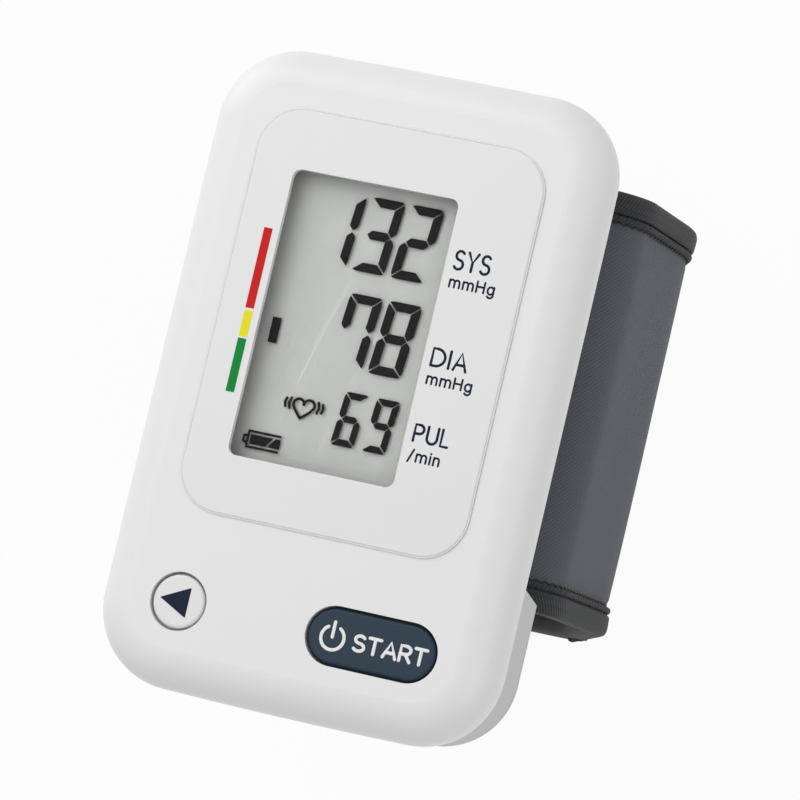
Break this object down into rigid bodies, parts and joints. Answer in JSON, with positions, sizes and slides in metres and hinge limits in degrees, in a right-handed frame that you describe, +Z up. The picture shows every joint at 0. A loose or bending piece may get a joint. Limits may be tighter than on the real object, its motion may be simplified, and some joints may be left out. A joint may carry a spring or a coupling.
{
  "type": "wrist blood pressure monitor",
  "caption": "Wrist blood pressure monitor: slim case with a numeric display, memory and start buttons and a battery cover, on a fabric cuff closed as a loop by a hook-and-loop flap.",
  "frame": {"origin": "on the table, under the middle of the case, with the device standing on its closed cuff", "axes": "+Z up and out of the display, +X to the right of a person who reads the display, +Y towards the top of the display"},
  "size_m": [0.0598, 0.088, 0.0816],
  "materials": {
    "case_white": "satin gloss, moulded",
    "panel_white": "satin gloss, moulded",
    "case_grey": "fine matt, moulded",
    "window_clear": "clear and polished",
    "lcd_glass": "flat, polariser film",
    "reflector": "matt, light grey",
    "zebra_rubber": "striped soft rubber",
    "holder_plastic": "matt, natural white",
    "button_navy": "satin, dark blue",
    "button_white": "satin, white",
    "dome_rubber": "matt silicone",
    "contact_gold": "plated",
    "board_green": "solder mask",
    "chip_black": "matt moulded",
    "part_ceramic": "matt ceramic",
    "cell_wrap": "printed sleeve, satin",
    "contact_steel": "plated sheet",
    "spring_steel": "bright wire",
    "motor_steel": "plated can",
    "pump_black": "matt moulded",
    "valve_steel": "plated frame",
    "sensor_white": "moulded",
    "manifold_white": "moulded",
    "tube_rubber": "soft silicone",
    "screw_steel": "plated",
    "cuff_fabric": "woven nylon, dark grey",
    "lining_fabric": "brushed fleece, light grey",
    "binding_tape": "ribbed tape, dark grey",
    "stiffener_sheet": "springy sheet",
    "bladder_rubber": "welded sheet",
    "hook_tape": "stiff hooks",
    "loop_tape": "soft loops"
  },
  "bodies": {
    "monitor": {"front_case": "case_white", "rear_case": "case_grey", "display_panel": "panel_white", "display_window": "window_clear", "lcd_glass": "lcd_glass", "lcd_reflector": "reflector", "lcd_connectors": "zebra_rubber", "lcd_holder": "holder_plastic", "start_dome": "dome_rubber", "memory_dome": "dome_rubber", "switch_pads": "contact_gold", "circuit_board": "board_green", "main_chip": "chip_black", "board_parts": "part_ceramic", "battery_cells": "cell_wrap", "battery_contacts": "contact_steel", "battery_springs": "spring_steel", "pump_motor": "motor_steel", "pump_head": "pump_black", "pump_bracket": "holder_plastic", "exhaust_valve": "valve_steel", "pressure_sensor": "sensor_white", "air_manifold": "manifold_white", "air_tubes": "tube_rubber", "air_nipple": "manifold_white", "cuff_plate": "case_grey", "plate_screws": "screw_steel", "case_screws": "screw_steel", "cuff_fabric": "cuff_fabric", "cuff_stiffener": "stiffener_sheet", "air_bladder": "bladder_rubber", "cuff_lining": "lining_fabric", "cuff_binding_top": "binding_tape", "cuff_binding_bottom": "binding_tape", "loop_pad": "loop_tape"},
    "start_button": {"start_button": "button_navy"},
    "memory_button": {"memory_button": "button_white"},
    "battery_cover": {"battery_cover": "case_grey"},
    "cuff_flap": {"flap_fabric": "cuff_fabric", "flap_stiffener": "stiffener_sheet", "flap_lining": "lining_fabric", "flap_binding_top": "binding_tape", "flap_binding_bottom": "binding_tape", "hook_pad": "hook_tape"}
  },
  "joints": [
    {"name": "start_press", "type": "slide", "parent": "monitor", "child": "start_button", "axis": [0, 0, -1], "range_m": [0, 0.0005], "stiffness_N_per_m": 3000, "springref_m": -0.0001, "deforming": ["start_dome"]},
    {"name": "memory_press", "type": "slide", "parent": "monitor", "child": "memory_button", "axis": [0, 0, -1], "range_m": [0, 0.0005], "stiffness_N_per_m": 3000, "springref_m": -0.0001, "deforming": ["memory_dome"]},
    {"name": "cover_slide", "type": "slide", "parent": "monitor", "child": "battery_cover", "axis": [0, -1, 0], "range_m": [0, 0.03]},
    {"name": "flap_hinge", "type": "hinge", "parent": "monitor", "child": "cuff_flap", "pos_m": [-0.0292, 0.0064, 0.05265], "axis": [0, 1, 0], "range_deg": [0, 100]}
  ]
}
